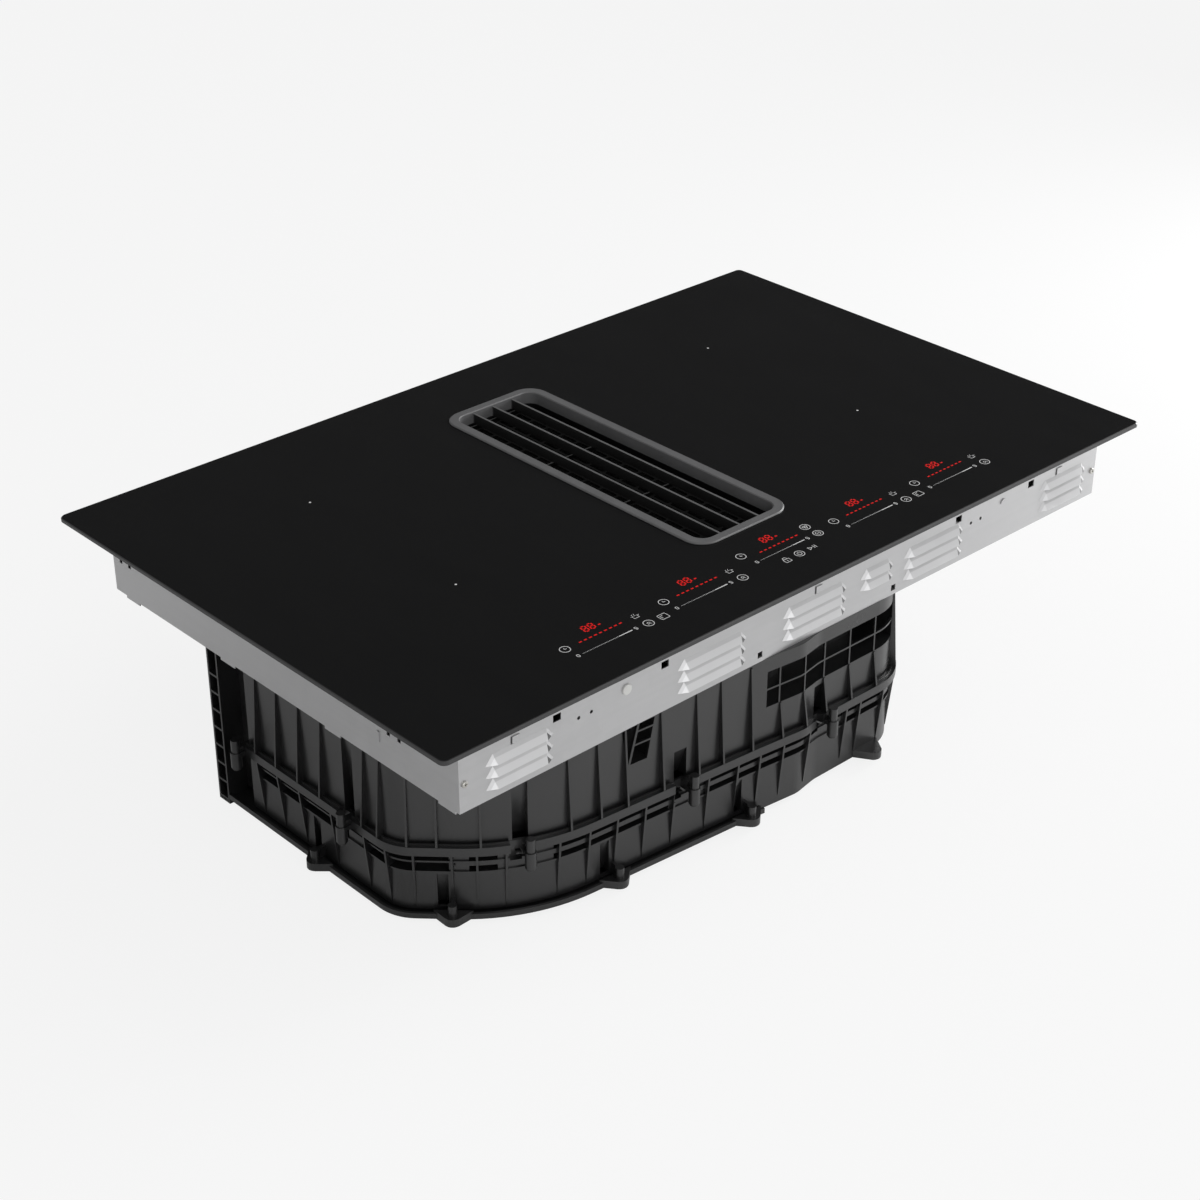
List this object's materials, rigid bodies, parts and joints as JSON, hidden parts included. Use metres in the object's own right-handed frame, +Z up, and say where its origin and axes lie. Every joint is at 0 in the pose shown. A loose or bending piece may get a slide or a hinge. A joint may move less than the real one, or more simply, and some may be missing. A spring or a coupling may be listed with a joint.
{
  "type": "downdraft induction cooktop",
  "caption": "Black glass induction hob with a flush air intake in its middle and a galvanised casing, over a black moulded fan housing with a rear duct outlet.",
  "frame": {"origin": "middle of the glass in plan, in the plane of the worktop that the seal under the glass rests on", "axes": "+X to the cook's right along the glass, -Y towards the cook and the touch controls, +Z up"},
  "size_m": [0.83, 0.515, 0.2279],
  "materials": {
    "black_glass": "polished black glass-ceramic",
    "seal_foam": "soft closed-cell foam",
    "silicone": "cured silicone bead",
    "zinc_sheet": "hot-dip galvanised sheet",
    "screw_steel": "zinc-plated",
    "white_nylon": "moulded nylon",
    "grille_coat": "fine matt coating",
    "black_plastic": "moulded, fine grain",
    "stainless": "brushed stainless steel",
    "mesh_coat": "expanded metal with a matt black coat",
    "gasket_rubber": "matt rubber",
    "impeller_plastic": "glass-filled plastic",
    "rotor_steel": "deep-drawn steel",
    "bearing_steel": "ground steel",
    "lamination": "stacked laminations",
    "copper": "enamelled copper",
    "damper_rubber": "matt rubber",
    "carrier_plastic": "moulded mica-filled plastic",
    "ferrite": "sintered ferrite",
    "plate_aluminium": "mill-finish sheet",
    "post_steel": "zinc-plated",
    "circuit_board": "solder-masked board",
    "sink_aluminium": "extruded",
    "blower_plastic": "moulded",
    "display_red": "red display filter",
    "tray_plastic": "moulded",
    "terminal_plastic": "moulded"
  },
  "bodies": {
    "hob": {"glass_top": "black_glass", "worktop_seal": "seal_foam", "glass_bond": "silicone", "front_panel": "zinc_sheet", "side_panel_left": "zinc_sheet", "side_panel_right": "zinc_sheet", "rear_panel": "zinc_sheet", "floor_pan": "zinc_sheet", "casing_screws": "screw_steel", "panel_plug": "white_nylon", "intake_collar": "black_plastic", "upper_housing": "black_plastic", "lower_housing": "black_plastic", "bottom_cover": "black_plastic", "housing_gasket": "gasket_rubber", "flange_screws": "screw_steel", "cover_screws": "screw_steel", "housing_bolts": "screw_steel", "scroll_shell": "black_plastic", "inlet_ring": "black_plastic", "motor_base": "plate_aluminium", "motor_bearings": "bearing_steel", "motor_stator": "lamination", "motor_windings": "copper", "motor_dampers": "damper_rubber", "motor_screws": "screw_steel", "coil_ferrites": "ferrite", "coil_sensors": "white_nylon", "plate_posts": "post_steel", "control_tray": "tray_plastic", "control_board": "circuit_board", "display_modules": "display_red", "terminal_block": "terminal_plastic", "filter_board": "circuit_board", "coil_carrier_1": "carrier_plastic", "coil_winding_1": "copper", "coil_carrier_2": "carrier_plastic", "coil_winding_2": "copper", "coil_carrier_3": "carrier_plastic", "coil_winding_3": "copper", "coil_carrier_4": "carrier_plastic", "coil_winding_4": "copper", "coil_plate_left": "plate_aluminium", "power_board_left": "circuit_board", "heat_sink_left": "sink_aluminium", "blower_case_left": "blower_plastic", "coil_plate_right": "plate_aluminium", "power_board_right": "circuit_board", "heat_sink_right": "sink_aluminium", "blower_case_right": "blower_plastic"},
    "filter_basket": {"filter_basket": "black_plastic"},
    "filter_cassette": {"filter_frame": "stainless", "filter_mesh": "mesh_coat"},
    "intake_grille": {"grille": "grille_coat"},
    "fan_wheel": {"impeller": "impeller_plastic", "motor_rotor": "rotor_steel", "motor_shaft": "bearing_steel"},
    "blower_wheel_left": {"blower_rotor_left": "blower_plastic"},
    "blower_wheel_right": {"blower_rotor_right": "blower_plastic"}
  },
  "joints": [
    {"name": "basket_lift", "type": "slide", "parent": "hob", "child": "filter_basket", "axis": [0, 0, 1], "range_m": [0, 0.125]},
    {"name": "cassette_lift", "type": "slide", "parent": "filter_basket", "child": "filter_cassette", "axis": [0, 0, 1], "range_m": [0, 0.06]},
    {"name": "grille_lift", "type": "slide", "parent": "filter_cassette", "child": "intake_grille", "axis": [0, 0, 1], "range_m": [0, 0.06]},
    {"name": "fan_spin", "type": "hinge", "parent": "hob", "child": "fan_wheel", "pos_m": [-0.225, -0.075, -0.167], "axis": [0, 0, 1], "continuous": true},
    {"name": "left_blower_spin", "type": "hinge", "parent": "hob", "child": "blower_wheel_left", "pos_m": [-0.222, 0.176, -0.052], "axis": [0, 0, 1], "continuous": true},
    {"name": "right_blower_spin", "type": "hinge", "parent": "hob", "child": "blower_wheel_right", "pos_m": [0.222, 0.176, -0.052], "axis": [0, 0, 1], "continuous": true}
  ]
}
